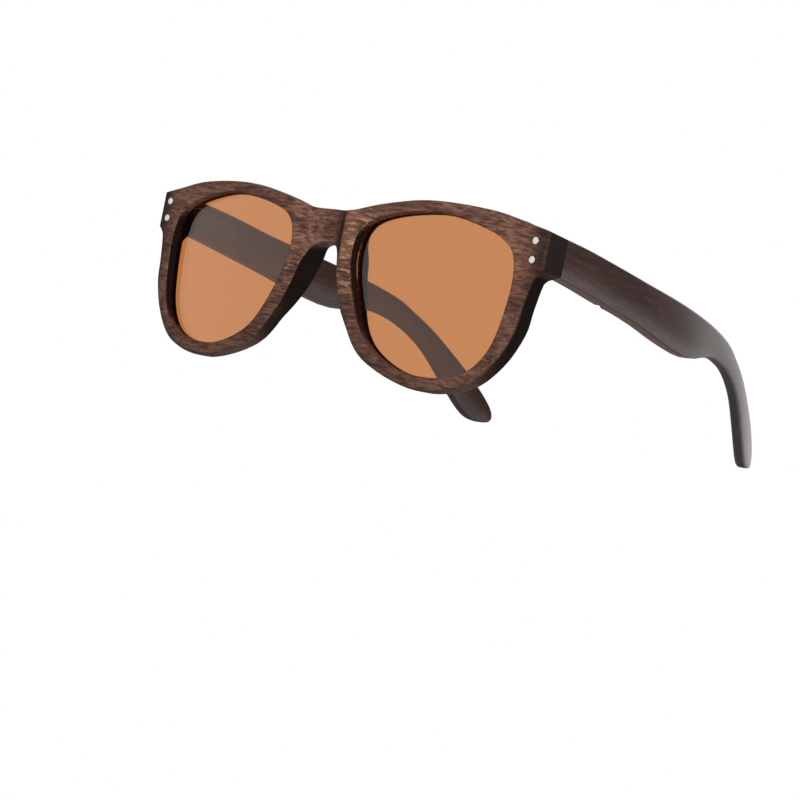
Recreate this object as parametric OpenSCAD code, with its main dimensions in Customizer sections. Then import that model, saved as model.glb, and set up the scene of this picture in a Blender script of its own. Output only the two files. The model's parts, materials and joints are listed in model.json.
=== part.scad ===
// Wooden sunglasses: a milled wooden front, two tinted lenses and two folding temples on sprung hinges.
// The wearer's left is +X, +Y runs back along the temples and +Z is up.
// The origin is the centre of the footprint on the surface that the rims and the temple tips rest on.

/* [Lenses] */
// Width of one lens opening
lens_w = 51.9; // [46:0.1:56]
// Height of one lens opening
lens_h = 43.6; // [38:0.1:48]
// Shortest distance between the two lens openings
bridge_w = 24; // [20:0.5:30]
// Thickness of a lens
lens_t = 1.8; // [1.2:0.1:2.2]
// How far the lens lies behind the front face
lens_inset = 2.8; // [2.4:0.1:3.4]
// Depth of the groove that holds the lens edge
groove_depth = 0.8; // [0.5:0.1:1]

/* [Front] */
// Radius of the front's wrap round the face
front_r = 383; // [250:1:600]
// Thickness of the rims
rim_t = 5.8; // [5.6:0.1:7]
// Rim height above the lens opening
rim_top = 3.1; // [2.6:0.1:4]
// Rim width beside the lens opening, on the temple side
rim_side = 5; // [3.6:0.1:6]
// Rim height below the lens opening
rim_low = 3.7; // [3:0.1:5]
// Rim width beside the nose
rim_nose = 5.4; // [4.6:0.1:6]
// Radius of the front's rounded edges
edge_r = 1; // [0.4:0.1:1.2]
// Radius of the edges of the lens openings
lip_r = 0.5; // [0.2:0.1:0.8]
// Height of the bridge
bridge_h = 9.4; // [7.5:0.1:11]
// Drop from the top of the lens openings to the top of the bridge
bridge_drop = 2; // [1:0.1:4]
// Radius of the edges of the bridge and its arch
bridge_edge_r = 0.5; // [0.3:0.1:1.2]
// Width of the hollow carved across the bridge
scoop_w = 14.5; // [10:0.5:18]
// Depth of the hollow carved across the bridge
scoop_depth = 2.4; // [0.5:0.1:2.6]
// Extra thickness at the bridge
nose_t = 0.6; // [0:0.1:2]
// How far the carved nose pads stand out behind the rims
pad_t = 2.6; // [0:0.1:3]

/* [End pieces] */
// Reach of an end piece past the rim's side
ear_out = 3.1; // [2.6:0.1:5]
// Height of an end piece
ear_h = 10.9; // [10.4:0.1:12]
// Depth of an end piece, from its front face to the seam
ear_d = 7.5; // [7.2:0.1:9]
// Drop from the top of the lens openings to the top of an end piece
ear_drop = 1.3; // [0.5:0.1:2.5]
// Fall of the end piece's top towards the seam
ear_fall = 0.6; // [0:0.1:1]
// Rise of the end piece's lower side towards the seam
ear_rise = 0.1; // [0:0.1:0.6]

/* [Temples] */
// Length of a temple from the seam to its tip
temple_l = 136; // [125:0.5:145]
// Thickness of a temple at the hinge
temple_t = 5.8; // [4.6:0.1:6]
// Thickness of a temple along its middle
temple_mid_t = 5; // [3.4:0.1:5.4]
// Thickness of a temple at its tip
tip_t = 3.8; // [2.6:0.1:4.6]
// Length of the straight stretch behind the seam
temple_straight = 30.6; // [25:0.1:40]
// Radius of the inward bend of a temple
temple_bow_r = 300; // [260:1:600]
// Radius of the temple's edges behind the seam
temple_edge_r = 0.5; // [0.3:0.1:1.2]
// Radius of the edges of the hook
hook_edge_r = 1.2; // [0.5:0.1:1.5]
// Gap at the seam between an end piece and its temple
seam_gap = 0.25; // [0.2:0.05:0.5]

/* [Hinges] */
// Diameter of the hinge knuckles
knuckle_d = 2.8; // [2.4:0.1:3]
// Height of the hinge leaf's knuckle
eye_h = 1.6; // [1.2:0.1:2]
// Height of each knuckle of the fork
fork_h = 1.2; // [0.9:0.1:1.4]
// Diameter of the pivot screw
pivot_d = 1.2; // [1:0.1:1.4]
// Distance of the hinge axis behind the seam
axis_back = 2.2; // [2.1:0.1:3]
// Distance of the hinge axis inside the temple's inner face
axis_in = 0.8; // [0.6:0.1:1]
// Thickness of the hinge leaf's plate
leaf_t = 0.8; // [0.5:0.1:1]
// Width of the hinge leaf's plate
leaf_w = 4.6; // [4:0.1:5]
// Height of the hinge leaf's plate
leaf_h = 7.8; // [7.4:0.1:8.4]
// Distance between the two rivets of a hinge leaf
rivet_pitch = 5; // [4.4:0.1:5.4]
// Distance of the rivets from the end piece's outer side
rivet_in = 3.8; // [3.4:0.1:4.2]
// Diameter of the rivet shanks
rivet_d = 1.2; // [0.8:0.1:1.4]
// Diameter of the rivet heads
rivet_head_d = 2; // [1.8:0.1:2.4]

/* [Spring boxes] */
// Length of a spring box without its tab
box_l = 10; // [9.5:0.5:12]
// Thickness of a spring box
box_t = 3.2; // [3:0.1:3.6]
// Length of the tab that is screwed to the temple
tab_l = 6.5; // [6:0.5:8]
// Diameter of the slider's rod
rod_d = 1.4; // [1.2:0.1:1.5]
// Diameter of the bore for the spring
spring_bore_d = 2.5; // [2.4:0.1:2.6]
// Diameter of the spring's wire
wire_d = 0.3; // [0.2:0.05:0.35]
// Number of turns of the spring
spring_turns = 5; // [4:1:6]
// Length of the spring at rest
spring_l = 4.5; // [4:0.1:5]
// Diameter of the shanks of the box screws
screw_d = 1.2; // [0.8:0.1:1.4]
// Diameter of the heads of the box screws
screw_head_d = 2.1; // [1.8:0.1:2.4]

/* [Hidden] */

// Clearances: of a pressed ring, between parts fixed together, round a turning pin and between moving faces.
press_gap = 0.01;
fixed_gap = 0.05;
run_gap = 0.05;
slip_gap = 0.1;

wood = [0.29, 0.21, 0.18];
amber = [0.72, 0.42, 0.2, 0.6];
steel = [0.75, 0.75, 0.77];
gunmetal = [0.35, 0.35, 0.36];

// Places of the main lines of the front. Heights are above the resting surface.
lens_x = bridge_w / 2;
lens_low = rim_low;
lens_top = lens_low + lens_h;
half_w = lens_x + lens_w + rim_side + ear_out;
bridge_top = lens_top - bridge_drop;
bridge_low = bridge_top - bridge_h;
ear_top = lens_top - ear_drop;
ear_low = ear_top - ear_h;
ear_z = (ear_top + ear_low) / 2;
seam_y = sag(half_w) + ear_d;
temple_y = seam_y + seam_gap;
tip_y = seam_y + temple_l;
mid_y = tip_y / 2;

// The hinge axis, and the places of the hinge's pieces along the temple as seen from that axis.
axis_x = half_w - temple_t - axis_in;
axis_y = seam_y + axis_back;
root_t = 0.8;
box_wall = 0.8;
stop_l = 1.2;
stack_h = eye_h + 2 * fork_h + 2 * slip_gap;
root_y = knuckle_d / 2 + slip_gap;
box_y = root_y + root_t + slip_gap;
spring_y = box_y + box_wall;
stop_y = spring_y + spring_l;
tab_y = box_y + box_l;
tab_end = tab_y + tab_l;
pivot_head_h = 0.5;
pivot_head_d = 1.6 * pivot_d;

// General curves: a soft step from 0 to 1, and a point on a curve through four control points.
function soft_step(a, b, x) = let(t = min(1, max(0, (x - a) / (b - a)))) t * t * (3 - 2 * t);
function through(a, b, c, d, s) =
  b + (c - a) * s / 2 + (2 * a - 5 * b + 4 * c - d) * s * s / 2 + (3 * b - a - 3 * c + d) * s * s * s / 2;
function unit(v) = v / norm(v);
function left_of(v) = [-v[1], v[0]];
function mirrored(row) = [for (i = [0 : len(row) - 1]) i == 1 ? -row[i] : row[i]];

// Samples along an open curve of control rows, with a row before its start and one past its end.
function sampled(rows, before, after, per_row) =
  let(all = concat([before], rows, [after]), last = len(rows) - 1)
  [for (k = [0 : last * per_row])
    let(i = min(last - 1, floor(k / per_row)), s = k / per_row - i)
    through(all[i], all[i + 1], all[i + 2], all[i + 3], s)];
function past_end(rows) = let(n = len(rows)) 2 * rows[n - 1] - rows[n - 2];

// The lens opening, as shares of its width and height, clockwise from the top as the wearer is faced.
LENS_SHAPE = [
  [0.5, 1], [0.75, 0.953], [0.9, 0.883], [0.975, 0.78], [0.99, 0.56], [0.933, 0.22], [0.776, 0.037],
  [0.49, 0], [0.245, 0.106], [0.11, 0.287], [0, 0.612], [0.023, 0.842], [0.187, 0.947]
];
LENS_ROWS = len(LENS_SHAPE);
function lens_row(i) =
  let(p = LENS_SHAPE[i % LENS_ROWS])
  [lens_x + p[0] * lens_w, lens_low + p[1] * lens_h];
function lens_point(t) =
  let(i = floor(t))
  through(lens_row(i + LENS_ROWS - 1), lens_row(i), lens_row(i + 1), lens_row(i + 2), t - i);
function lens_normal(t) = unit(left_of(lens_point(t + 0.02) - lens_point(t - 0.02)));
function off_lens(t, x, z) = let(p = lens_point(t)) [t, p[0] + x, p[1] + z];

// The front's outline, as rows of a place on the lens opening and the point that faces it.
// The top runs from the bridge to the end piece, and the side from there round to the bridge's arch.
ear_r = temple_edge_r;
TOP_ROWS = [
  [11.4, 0, bridge_top],
  [11.7, 0.36 * bridge_w, bridge_top],
  off_lens(12.1, -rim_nose, 0.77 * rim_top),
  off_lens(12.8, -0.4 * rim_top, rim_top),
  off_lens(14, 0.4 * rim_top, 1.45 * rim_top),
  off_lens(15, 1.24 * rim_side, lens_top - lens_point(15)[1]),
  [15.4, half_w - ear_r, ear_top]
];
SIDE_ROWS = [
  [16, half_w - ear_r, ear_low],
  [16.3, half_w - 0.8 * ear_out, ear_low - 0.22 * ear_h],
  off_lens(17, 0.95 * rim_side, -0.65 * rim_low),
  off_lens(17.45, 0.9 * rim_side, -0.7 * rim_low),
  off_lens(18, 0.42 * rim_side, -0.95 * rim_low),
  off_lens(19, 0.4 * rim_side, -0.73 * rim_low),
  off_lens(20, 0.4 * rim_side, -rim_low),
  off_lens(21, -0.56 * rim_nose, -0.73 * rim_low),
  off_lens(22, -0.85 * rim_nose, -0.32 * rim_low),
  off_lens(22.5, -rim_nose, -0.08 * rim_low),
  off_lens(23, -1.09 * rim_nose, 0.22 * rim_low),
  [23.3, 0.16 * bridge_w, bridge_low - 0.1 * bridge_h],
  [23.55, 0, bridge_low]
];
top_line = sampled(TOP_ROWS, mirrored(TOP_ROWS[1]), past_end(TOP_ROWS), 4);
side_line = sampled(
  SIDE_ROWS, 2 * SIDE_ROWS[0] - SIDE_ROWS[1], mirrored(SIDE_ROWS[len(SIDE_ROWS) - 2]), 4
);
// The end piece's side has two rounded corners.
function ear_corner(t, z, a) = [t, half_w - ear_r + ear_r * cos(a), z + ear_r * sin(a)];
ear_line = [
  for (a = [60, 30, 0]) ear_corner(15.4 + (90 - a) / 450, ear_top - ear_r, a),
  [15.7, half_w, ear_z],
  for (a = [0, -30, -60]) ear_corner(15.8 - a / 450, ear_low + ear_r, a)
];
outline = concat(top_line, ear_line, side_line);

// The front's surfaces: the wrapped face with its carved bridge, and the back with its thicker places.
function sag(x) = front_r - sqrt(front_r * front_r - x * x);
function scoop(x) = scoop_depth * max(0, 1 - pow(2 * x / scoop_w, 2));
function face_y(p) = sag(p[0]) + scoop(p[0]);
// The end piece's deep block fades out towards the lens and below its lower edge.
block_w = 7.1;
block_fade = 5;
block_low_fade = 2;
function block_foot(z) = soft_step(ear_low - block_low_fade, ear_low, z);
function ear_share(p) =
  soft_step(half_w - block_w - block_fade, half_w - block_w, p[0]) * block_foot(p[1]);
// A nose pad follows the rim beside the arch, which leans out below the lens opening's innermost place.
// It fades out across the rim, down the rim and up towards the bridge.
pad_lean = 0.4;
pad_side = [2.5, -0.5];
pad_foot = [9, 24];
pad_head = [4, -5];
function pad_x(z) = lens_x + pad_lean * max(0, lens_row(10)[1] - z);
function pad_share(p) =
  soft_step(pad_x(p[1]) + pad_side[0], pad_x(p[1]) + pad_side[1], p[0])
  * soft_step(lens_low + pad_foot[0], lens_low + pad_foot[1], p[1])
  * soft_step(bridge_low + pad_head[0], bridge_low + pad_head[1], p[1]);
// The bridge's extra thickness and its sharper edges fade out across the rims.
nose_side = [9, -1];
nose_foot = [-12, -2];
edge_side = [4, -2];
function nose_share(p) =
  soft_step(lens_x + nose_side[0], lens_x + nose_side[1], p[0])
  * soft_step(bridge_low + nose_foot[0], bridge_low + nose_foot[1], p[1]);
function edge_at(p) =
  edge_r + (bridge_edge_r - edge_r) * soft_step(lens_x + edge_side[0], lens_x + edge_side[1], p[0]);
function rim_y(p) = sag(p[0]) + rim_t + nose_t * nose_share(p) + pad_t * pad_share(p);
function back_y(p) = let(e = ear_share(p)) rim_y(p) * (1 - e) + seam_y * e;

// The outline's outward direction at a station, stretched at corners so that an inset stays even.
function outline_place(k) =
  k < 0 ? mirrored(outline[1]) : k >= len(outline) ? mirrored(outline[len(outline) - 2]) : outline[k];
function flat(row) = [row[1], row[2]];
function edge_normal(a, b) = unit(left_of(flat(b) - flat(a)));
function outline_normal(k) =
  let(n1 = edge_normal(outline_place(k - 1), outline[k]), n2 = edge_normal(outline[k], outline_place(k + 1)))
  (n1 + n2) / (1 + n1 * n2);

// Stations down the middle of the bridge, between the rounded edges of its arch and of its top.
BRIDGE_STEPS = 6;
arch_z = bridge_low - bridge_edge_r * outline_normal(len(outline) - 1)[1];
crown_z = bridge_top - bridge_edge_r * outline_normal(0)[1];
bridge_line = [for (k = [0 : BRIDGE_STEPS]) let(s = k / BRIDGE_STEPS)
  [23.6 + 0.75 * s, 0, arch_z + (crown_z - arch_z) * s]];
stations = concat(outline, bridge_line);

// A point of the front. The end piece's top falls and its lower side rises from the face to the seam.
taper_side = [7, 2];
function at(p, y) =
  let(
    high = min(1, max(0, (p[1] - ear_low) / ear_h)),
    deep = min(1, max(0, (y - sag(p[0])) / ear_d)),
    out = soft_step(half_w - taper_side[0], half_w - taper_side[1], p[0]) * block_foot(p[1])
  )
  [p[0], y, p[1] + out * deep * (ear_rise * (1 - high) - ear_fall * high)];

// Steps across the face. Where a section crosses the edge of the hollow, a step ends on that edge.
RIM_STEPS = 2;
SCOOP_STEPS = 4;
plain_share = RIM_STEPS / (RIM_STEPS + SCOOP_STEPS);
most_share = 0.85;
share_fade = 0.2;
function ridge_share(from, to) =
  let(ridge = scoop_w / 2)
  to > ridge ? max(plain_share, most_share - share_fade * (to - ridge))
  : min(most_share, max(plain_share, (from - ridge) / (from - to)));
function face_steps(from, to) =
  let(c = ridge_share(from, to))
  concat(
    [for (s = [0 : RIM_STEPS]) c * s / RIM_STEPS],
    [for (s = [1 : SCOOP_STEPS]) c + (1 - c) * s / SCOOP_STEPS]
  );

// One section through the rim: the lip, the rounded face, the outer side, the back and the lens groove.
BACK_STEPS = 4;
groove_front = lens_inset - slip_gap;
groove_back = lens_inset + lens_t + slip_gap;
// How much sharper the back edge gets at the seam, as a share of the edge radius.
seam_sharp = 0.75;
function section(k) =
  let(
    row = stations[k],
    on_outline = k < len(outline),
    inner = lens_point(row[0]),
    inward = lens_normal(row[0]),
    outer = flat(row),
    out = on_outline ? outline_normal(k) : [0, 0],
    face_r = on_outline ? edge_at(outer) : 0,
    back_r = face_r * (1 - seam_sharp * ear_share(outer)),
    lip = inner + lip_r * inward,
    shoulder = outer - face_r * out,
    back_shoulder = outer - back_r * out,
    depth = sag(inner[0]),
    floor_p = inner + groove_depth * inward
  )
  concat(
    [at(inner, depth + groove_front)],
    [for (a = [90, 45])
      let(p = inner + lip_r * (1 - sin(a)) * inward)
      at(p, face_y(p) + lip_r * (1 - cos(a)))],
    [for (s = face_steps(lip[0], shoulder[0]))
      let(p = lip + (shoulder - lip) * s)
      at(p, face_y(p))],
    [for (a = [30, 60, 90])
      let(p = outer - face_r * (1 - sin(a)) * out)
      at(p, face_y(p) + face_r * (1 - cos(a)))],
    [for (a = [90, 45])
      let(p = outer - back_r * (1 - sin(a)) * out)
      at(p, back_y(p) - back_r * (1 - cos(a)))],
    [for (s = [0 : BACK_STEPS])
      let(p = back_shoulder + (lip - back_shoulder) * s / BACK_STEPS)
      at(p, back_y(p))],
    [at(inner, back_y(inner) - lip_r), at(inner, depth + groove_back)],
    [at(floor_p, sag(floor_p[0]) + groove_back), at(floor_p, sag(floor_p[0]) + groove_front)]
  );

// A skin over a ring of sections. Faces on the middle plane and faces with no area are left out.
function area(p) = norm(cross(p[1] - p[0], p[2] - p[0]));
function on_middle(p) = max([for (q = p) abs(q[0])]) < 0.0001;
function ring_faces(rings, sides) = [
  for (k = [0 : rings - 1], j = [0 : sides - 1])
    let(a = k * sides + j, b = k * sides + (j + 1) % sides, m = ((k + 1) % rings) * sides)
    let(c = m + (j + 1) % sides, d = m + j)
    each [[a, b, c], [a, c, d]]
];
function kept(points, faces) = [
  for (f = faces)
    let(p = [for (i = f) points[i]])
    if (area(p) > 0.000001 && !on_middle(p)) f
];

module wooden_front() {
  half = [for (k = [0 : len(stations) - 1]) each section(k)];
  sides = len(section(0));
  faces = kept(half, ring_faces(len(stations), sides));
  twin = [for (p = half) [-p[0], p[1], p[2]]];
  twin_faces = [for (f = faces) [for (i = [2, 1, 0]) f[i] + len(half)]];
  polyhedron(concat(half, twin), concat(faces, twin_faces), convexity = 10);
}

module front_frame() {
  color(wood)
    place()
      difference() {
        wooden_front();
        for (side = [0, 1]) mirror([side, 0, 0]) {
          leaf_seat();
          rivet_holes();
        }
      }
}

// Every piece is drawn with the front's face at y = 0 and then moved over the origin.
module place() {
  translate([0, -mid_y, 0]) children();
}

// The hinge's own frame: its axis stands along z, and y runs along the temple's middle line.
module at_hinge() {
  translate([axis_x, axis_y, ear_z]) rotate([-temple_tilt, 0, 0]) children();
}

module lens() {
  rim = [for (row = stations) lens_point(row[0]) + (groove_depth - slip_gap) * lens_normal(row[0])];
  color(amber)
    difference() {
      intersection() {
        translate([0, rim_t + seam_y, 0]) rotate([90, 0, 0]) linear_extrude(rim_t + seam_y) polygon(rim);
        wrap(lens_inset);
      }
      wrap(lens_inset + lens_t);
    }
}

// The space behind the front's wrapped face, set back by a depth.
module wrap(depth) {
  translate([0, front_r + depth, -lens_h]) cylinder(r = front_r, h = 3 * lens_h, $fn = 720);
}

// A round bar along y.
module bar(d, y0, y1) {
  translate([0, y0, 0]) rotate([-90, 0, 0]) cylinder(d = d, h = y1 - y0, $fn = 32);
}

rivet_x = half_w - rivet_in;
rivet_face_y = sag(rivet_x);
rivet_proud = 0.25;
rivet_head_l = 0.4;
module at_rivets() {
  for (end = [-1, 1]) translate([rivet_x, 0, ear_z + end * rivet_pitch / 2]) children();
}

module rivets() {
  color(steel)
    at_rivets() {
      bar(rivet_d, rivet_face_y, seam_y);
      bar(rivet_head_d, rivet_face_y - rivet_proud, rivet_face_y + rivet_head_l);
    }
}

module rivet_holes() {
  at_rivets() {
    bar(rivet_d + 2 * fixed_gap, rivet_face_y - 1, seam_y + 1);
    bar(rivet_head_d + 2 * fixed_gap, rivet_face_y - 1, rivet_face_y + rivet_head_l + fixed_gap);
  }
}

// The leaf's plate lies flush in the back of the end piece. Its web carries the middle knuckle.
web_t = 1;
leaf_x = axis_x - web_t / 2;
module leaf_seat() {
  translate([leaf_x - fixed_gap, seam_y - leaf_t - fixed_gap, ear_z - leaf_h / 2 - fixed_gap])
    cube([leaf_w + 2 * fixed_gap, leaf_t + 1, leaf_h + 2 * fixed_gap]);
}

module hinge_leaf() {
  color(gunmetal)
    difference() {
      union() {
        translate([leaf_x, seam_y - leaf_t, ear_z - leaf_h / 2]) cube([leaf_w, leaf_t, leaf_h]);
        at_hinge() {
          translate([-web_t / 2, -axis_back - leaf_t / 2, -eye_h / 2])
            cube([web_t, axis_back + leaf_t / 2, eye_h]);
          cylinder(d = knuckle_d, h = eye_h, center = true, $fn = 32);
        }
      }
      at_hinge() cylinder(d = pivot_d + 2 * run_gap, h = 2 * eye_h, center = true, $fn = 32);
      at_rivets() bar(rivet_d + 2 * fixed_gap, seam_y - 2 * leaf_t, seam_y + 1);
    }
}

module pivot_screw() {
  color(steel)
    at_hinge() {
      cylinder(d = pivot_d, h = stack_h, center = true, $fn = 32);
      translate([0, 0, stack_h / 2]) cylinder(d = pivot_head_d, h = pivot_head_h, $fn = 32);
    }
}

// The slider: a fork with two knuckles, a root and a rod that reaches into the spring box.
module slider() {
  color(steel)
    at_hinge()
      difference() {
        union() {
          for (end = [0, 1]) mirror([0, 0, end]) translate([0, 0, eye_h / 2 + slip_gap]) {
            cylinder(d = knuckle_d, h = fork_h, $fn = 32);
            translate([-knuckle_d / 2, 0, 0]) cube([knuckle_d, root_y + root_t / 2, fork_h]);
          }
          translate([-knuckle_d / 2, root_y, -stack_h / 2]) cube([knuckle_d, root_t, stack_h]);
          bar(rod_d, root_y, stop_y + stop_l);
        }
        cylinder(d = pivot_d + 2 * run_gap, h = 2 * stack_h, center = true, $fn = 32);
      }
}

module spring_stop() {
  color(steel)
    at_hinge()
      difference() {
        bar(spring_bore_d - 2 * slip_gap, stop_y, stop_y + stop_l);
        bar(rod_d + 2 * press_gap, stop_y - 1, stop_y + stop_l + 1);
      }
}

// The spring: a wire swept along a helix, with flat ends between the box's wall and the stop.
SPRING_RINGS = 8;
SPRING_SIDES = 6;
helix_r = spring_bore_d / 2 - run_gap - wire_d / 2;
helix_l = spring_l - wire_d - 2 * fixed_gap;
function helix_point(turn, side) =
  let(a = 360 * turn, b = 360 * side / SPRING_SIDES, r = helix_r + wire_d / 2 * cos(b))
  [r * cos(a), fixed_gap + wire_d / 2 * (1 + sin(b)) + helix_l * turn / spring_turns, r * sin(a)];
module spring() {
  rings = spring_turns * SPRING_RINGS;
  points = [for (k = [0 : rings], j = [0 : SPRING_SIDES - 1]) helix_point(k / SPRING_RINGS, j)];
  skin = [for (k = [0 : rings - 1], j = [0 : SPRING_SIDES - 1])
    let(a = k * SPRING_SIDES + j, b = k * SPRING_SIDES + (j + 1) % SPRING_SIDES, n = SPRING_SIDES)
    each [[a, b + n, b], [a, a + n, b + n]]];
  first = [for (j = [1 : SPRING_SIDES - 2]) [0, j, j + 1]];
  last = [for (f = first) [for (i = [2, 1, 0]) f[i] + rings * SPRING_SIDES]];
  color(steel) at_hinge() translate([0, spring_y, 0]) polyhedron(points, concat(skin, first, last));
}

// The spring box is let into the temple and held by two screws through its tab.
tab_t = box_t / 2 - axis_in;
screw_len = 3;
screw_head_h = 0.5;
module along_screws() {
  for (share = [0.3, 0.7]) translate([axis_in, tab_y + share * tab_l, 0]) rotate([0, 90, 0]) children();
}

module spring_box() {
  color(gunmetal)
    at_hinge()
      difference() {
        union() {
          translate([-box_t / 2, box_y, -stack_h / 2]) cube([box_t, box_l, stack_h]);
          tab_shape(stack_h, tab_t);
        }
        bar(rod_d + 2 * run_gap, box_y - 1, spring_y + 1);
        bar(spring_bore_d, spring_y, tab_y + 1);
        along_screws() cylinder(d = screw_d + 2 * fixed_gap, h = 4 * tab_t, center = true, $fn = 32);
      }
}

// A strip along the temple with a round end, as high as the box.
module tab_shape(high, thick) {
  translate([axis_in, box_y, -high / 2]) cube([thick, tab_end - box_y - high / 2, high]);
  translate([axis_in, tab_end - high / 2, 0]) rotate([0, 90, 0]) cylinder(d = high, h = thick, $fn = 48);
}

module box_screws() {
  color(steel)
    at_hinge()
      along_screws() {
        cylinder(d = screw_d, h = screw_len, $fn = 32);
        translate([0, 0, -screw_head_h]) cylinder(d = screw_head_d, h = screw_head_h, $fn = 32);
      }
}

// The temple's side view, from the seam to the tip: a point of its top edge and one of its lower edge.
// A point is a share of the temple's length and a share of the hinge's height above the resting surface.
TEMPLE_ROWS = [
  [0, 0, 0, 0],
  [0.078, 1.1, 0.075, 0.84],
  [0.189, 1.057, 0.184, 0.784],
  [0.299, 1.012, 0.292, 0.726],
  [0.409, 0.974, 0.398, 0.658],
  [0.512, 0.933, 0.501, 0.62],
  [0.615, 0.879, 0.601, 0.674],
  [0.693, 0.815, 0.669, 0.649],
  [0.741, 0.742, 0.713, 0.604],
  [0.789, 0.662, 0.756, 0.534],
  [0.837, 0.561, 0.802, 0.427],
  [0.905, 0.4, 0.864, 0.227],
  [0.956, 0.258, 0.907, 0.092],
  [0.99, 0.139, 0.936, 0.023],
  [1, 0.063, 0.961, 0.001],
  [0.995, 0.023, 0.978, 0.002]
];
function temple_row(i) =
  i == 0 ? [temple_y, ear_top - ear_fall, temple_y, ear_low + ear_rise]
  : let(r = TEMPLE_ROWS[i])
    [seam_y + r[0] * temple_l, r[1] * ear_z, seam_y + r[2] * temple_l, r[3] * ear_z];
temple_rows = [for (i = [0 : len(TEMPLE_ROWS) - 1]) temple_row(i)];
temple_line = sampled(temple_rows, 2 * temple_rows[0] - temple_rows[1], past_end(temple_rows), 3);
function middle_z(row) = (row[1] + row[3]) / 2;
TILT_ROW = 3;
tilt_fall = middle_z(temple_rows[0]) - middle_z(temple_rows[TILT_ROW]);
temple_tilt = atan(tilt_fall / (temple_rows[TILT_ROW][0] - temple_y));

// The inward bend in plan, and the thickness and the edge radius along the temple.
// It thins out behind the spring box and towards the hook, where its edges get rounder too.
taper_l = 12;
thin_y = seam_y + 0.35 * temple_l;
hook_y = seam_y + 0.71 * temple_l;
function bow(y) =
  let(d = max(0, y - seam_y - temple_straight))
  temple_bow_r - sqrt(temple_bow_r * temple_bow_r - d * d);
function thickness(y) =
  temple_t
  + (temple_mid_t - temple_t) * soft_step(axis_y + tab_end, axis_y + tab_end + taper_l, y)
  + (tip_t - temple_mid_t) * soft_step(thin_y, hook_y, y);
function temple_edge(y) = temple_edge_r + (hook_edge_r - temple_edge_r) * soft_step(thin_y, hook_y, y);

// One section of the temple: a rectangle with rounded corners between the two edges.
corner_share = 0.45;
function temple_section(row) =
  let(
    top = [row[0], row[1]],
    low = [row[2], row[3]],
    high = norm(top - low),
    up = (top - low) / high,
    mid = (row[0] + row[2]) / 2,
    t = thickness(mid),
    r = min(temple_edge(mid), corner_share * t, corner_share * high)
  )
  [for (corner = [[r, high - r, 90], [t - r, high - r, 0], [t - r, r, 270], [r, r, 180]], a = [90, 60, 30, 0])
    let(
      in = corner[0] + r * cos(corner[2] + a),
      p = low + up * (corner[1] + r * sin(corner[2] + a))
    )
    [half_w - bow(p[0]) - in, p[0], p[1]]];

module wooden_temple() {
  sections = [for (row = temple_line) temple_section(row)];
  sides = len(sections[0]);
  rings = len(sections);
  points = concat([for (s = sections) each s], [mean(sections[0]), mean(sections[rings - 1])]);
  skin = [for (f = ring_faces(rings, sides)) if (max(f) - min(f) < 2 * sides) f];
  ends = [for (j = [0 : sides - 1])
    let(b = (j + 1) % sides, m = (rings - 1) * sides)
    each [[rings * sides, b, j], [rings * sides + 1, m + j, m + b]]];
  polyhedron(points, concat(skin, ends), convexity = 10);
}
function mean(list) = [for (i = [0 : 2]) [for (p = list) p[i]] * [for (p = list) 1] / len(list)];

module temple() {
  pocket_h = stack_h + 2 * slip_gap;
  relief_h = stack_h + 2 * pivot_head_h + 4 * slip_gap;
  color(wood)
    difference() {
      wooden_temple();
      at_hinge() {
        translate([-temple_t, pocket_y, -relief_h / 2])
          cube([temple_t + knuckle_d / 2 + slip_gap, box_y - slip_gap - pocket_y, relief_h]);
        pocket_strip(pocket_h);
        along_screws() cylinder(d = screw_d + 2 * fixed_gap, h = screw_len + fixed_gap, $fn = 32);
      }
      edge_notch();
    }
}

// A small round notch in the temple's lower inner edge, behind the spring box.
notch_d = 3.2;
notch_in = 1.6;
notch_deep = 0.9;
NOTCH_ROW = 2;
module edge_notch() {
  y = temple_rows[NOTCH_ROW][2];
  x = half_w - bow(y) - thickness(y);
  translate([x - notch_in, y, temple_rows[NOTCH_ROW][3] + notch_deep - notch_d / 2])
    rotate([0, 90, 0])
      cylinder(d = notch_d, h = 2 * notch_in, $fn = 32);
}

// The milled slot for the hinge, the box and its tab, open to the temple's front end and its inner face.
pocket_y = -2 * axis_back;
module pocket_strip(high) {
  deep = box_t / 2 + fixed_gap + temple_t;
  end_y = tab_end + slip_gap - high / 2;
  translate([-temple_t, pocket_y, -high / 2]) cube([deep, end_y - pocket_y, high]);
  translate([-temple_t, end_y, 0]) rotate([0, 90, 0]) cylinder(d = high, h = deep, $fn = 48);
}

module left() {
  place() children();
}
module right() {
  place() mirror([1, 0, 0]) children();
}

front_frame();
left() lens();  // left_lens
right() lens();  // right_lens
left() rivets();  // left_rivets
right() rivets();  // right_rivets
left() hinge_leaf();  // left_hinge_leaf
right() hinge_leaf();  // right_hinge_leaf
left() pivot_screw();  // left_pivot_screw
right() pivot_screw();  // right_pivot_screw
left() slider();  // left_slider
right() slider();  // right_slider
left() spring();  // left_spring
right() spring();  // right_spring
left() spring_stop();  // left_spring_stop
right() spring_stop();  // right_spring_stop
left() spring_box();  // left_spring_box
right() spring_box();  // right_spring_box
left() box_screws();  // left_box_screws
right() box_screws();  // right_box_screws
left() temple();  // left_temple
right() temple();  // right_temple
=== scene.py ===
import json
import math

import bpy
from mathutils import Matrix, Vector


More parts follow.
